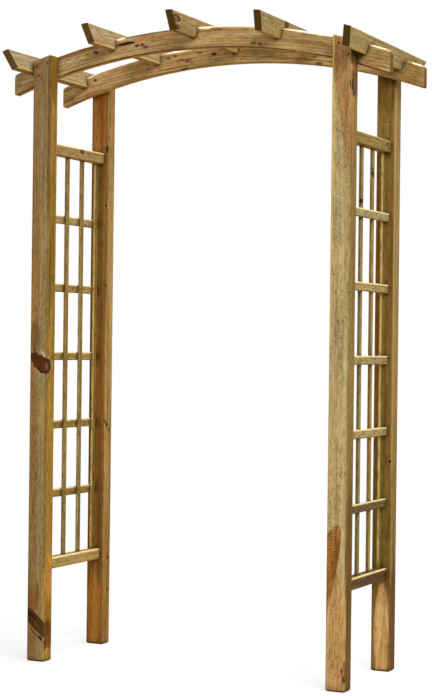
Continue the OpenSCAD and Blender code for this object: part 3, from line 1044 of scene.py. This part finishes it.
def fixings(name, maker, matrices):
    """Many heads as one mesh. Each matrix puts a head's +Z outwards."""
    bm = bmesh.new()
    for matrix in matrices:
        first = len(bm.verts)
        maker(bm)
        bm.verts.ensure_lookup_table()
        bmesh.ops.transform(bm, matrix=matrix, verts=bm.verts[first:])
    bmesh.ops.recalc_face_normals(bm, faces=bm.faces)
    mesh = bpy.data.meshes.new(name)
    bm.to_mesh(mesh)
    bm.free()
    mesh.materials.append(STEEL)
    piece = add_object(name, mesh)
    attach(piece, "root")


def post_screws():
    """Two screws through each post into its arch: millimetres sideways from its middle, and below
    the arches' top."""
    spots = {"left": ((21, 97), (-13, 138)), "right": ((-13, 97), (21, 136))}
    for side, pair in spots.items():
        for row in ("front", "back"):
            low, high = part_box(f"post_{row}_{side}")
            y, way = (low.y, -1) if row == "front" else (high.y, 1)
            for across, drop in pair:
                height = CURVE_Z + ARCH_TOP_R - drop * MM
                yield facing(((low.x + high.x) / 2 + across * MM, y, height), (0, way, 0))


def rafter_screws():
    """One screw down through each rafter into each arch."""
    for name in RAFTERS:
        turn = rafter_turn(name)
        outwards = Vector((math.sin(turn), 0, math.cos(turn)))
        top = middle(name) + outwards * RAFTER_HEIGHT / 2
        for arch in ARCHES:
            yield facing(Vector((top.x, middle(arch).y, top.z)), outwards)


def panel_nails():
    """A nail through each slat into each upright behind it."""
    for side in SIDES:
        for i in range(1, 6):
            slat = f"slat_{side}_{i}"
            low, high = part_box(slat)
            x = low.x if inside_out(slat) < 0 else high.x
            for j in range(1, 5):
                y = middle(f"upright_{side}_{j}").y
                off = 3 * MM * ((i + 2 * j) % 3 - 1)
                yield facing((x, y + off, middle(slat).z - off), (inside_out(slat), 0, 0))


fixings("post_screws", screw_head, post_screws())
fixings("rafter_screws", screw_head, rafter_screws())
fixings("panel_nails", nail_head, panel_nails())


# ---- Floor, light and camera ----

def make_floor():
    """A plain white floor. It keeps the shadow near the feet and fades into the white behind."""
    mesh = bpy.data.meshes.new("floor")
    reach, fade_from, fade_to = 30.0, 0.9, 1.9
    mesh.from_pydata([(-reach, -reach, 0), (reach, -reach, 0), (reach, reach, 0), (-reach, reach, 0)],
                     [], [(0, 1, 2, 3)])
    floor = add_object("floor", mesh)
    material = bpy.data.materials.new("floor")
    g = empty_tree(material)
    seen = g.node("LightPath", {}).outputs["Is Camera Ray"]
    bounce = g.node("BsdfDiffuse", {"Color": linear((200, 186, 159))}).outputs[0]
    shade = g.node("BsdfDiffuse", {"Color": linear((140, 140, 140))}).outputs[0]
    glow = g.node("Emission", {"Color": (1, 1, 1, 1), "Strength": 0.7}).outputs[0]
    near = g.node("AddShader", {0: shade, 1: glow}).outputs[0]
    white = g.node("Emission", {"Color": (1, 1, 1, 1), "Strength": 1.0}).outputs[0]
    far = g.step(g.vector("LENGTH", g.here()["Object"]), fade_from, fade_to)
    visible = g.node("MixShader", {0: far, 1: near, 2: white}).outputs[0]
    mixed = g.node("MixShader", {0: seen, 1: bounce, 2: visible}).outputs[0]
    g.node("OutputMaterial", {0: mixed})
    mesh.materials.append(material)


def make_world():
    """Even, slightly cool light from all round. What the camera, gloss and glass see is plain white."""
    world = bpy.data.worlds.new("studio")
    bpy.context.scene.world = world
    g = empty_tree(world)
    path = g.node("LightPath", {}).outputs
    mirrored = g.math("MAXIMUM", path["Is Glossy Ray"], path["Is Transmission Ray"])
    seen = g.math("MAXIMUM", path["Is Camera Ray"], mirrored)
    cool = (1.0, 1.02, 1.07, 1.0)
    soft = g.node("Background", {"Color": cool, "Strength": 0.5}).outputs[0]
    white = g.node("Background", {"Color": (1, 1, 1, 1), "Strength": 1.0}).outputs[0]
    mixed = g.node("MixShader", {0: seen, 1: soft, 2: white}).outputs[0]
    g.node("OutputWorld", {0: mixed})


def soft_box(name, place, target, width, power):
    """A square area lamp that looks at a point."""
    light = bpy.data.lights.new(name, "AREA")
    light.size = width
    light.energy = power
    lamp = add_object(name, light)
    lamp.location = place
    lamp.rotation_mode = "QUATERNION"
    lamp.rotation_quaternion = (Vector(target) - Vector(place)).to_track_quat("-Z", "Y")


def make_camera():
    """The camera stands out in front to the right, and looks level, past the arbor's middle."""
    data = bpy.data.cameras.new("camera")
    data.sensor_width = 36.0
    data.lens = 90.5
    camera = add_object("camera", data)
    heading, roll = math.radians(25.62), math.radians(0.68)
    turned = Euler((math.radians(90), 0, heading)).to_matrix() @ Matrix.Rotation(roll, 3, "Z")
    place = (2.662, -5.526, 1.112)
    camera.matrix_world = Matrix.Translation(place) @ turned.to_4x4()
    bpy.context.scene.camera = camera


make_floor()
make_world()
soft_box("key", (4.5, -3.5, 5.0), (0, 0, 1.2), 3.5, 330.0)
soft_box("top", (0.5, 0.5, 5.5), (0, 0, 1.2), 3.0, 200.0)
make_camera()

bpy.context.scene.view_settings.view_transform = "Standard"
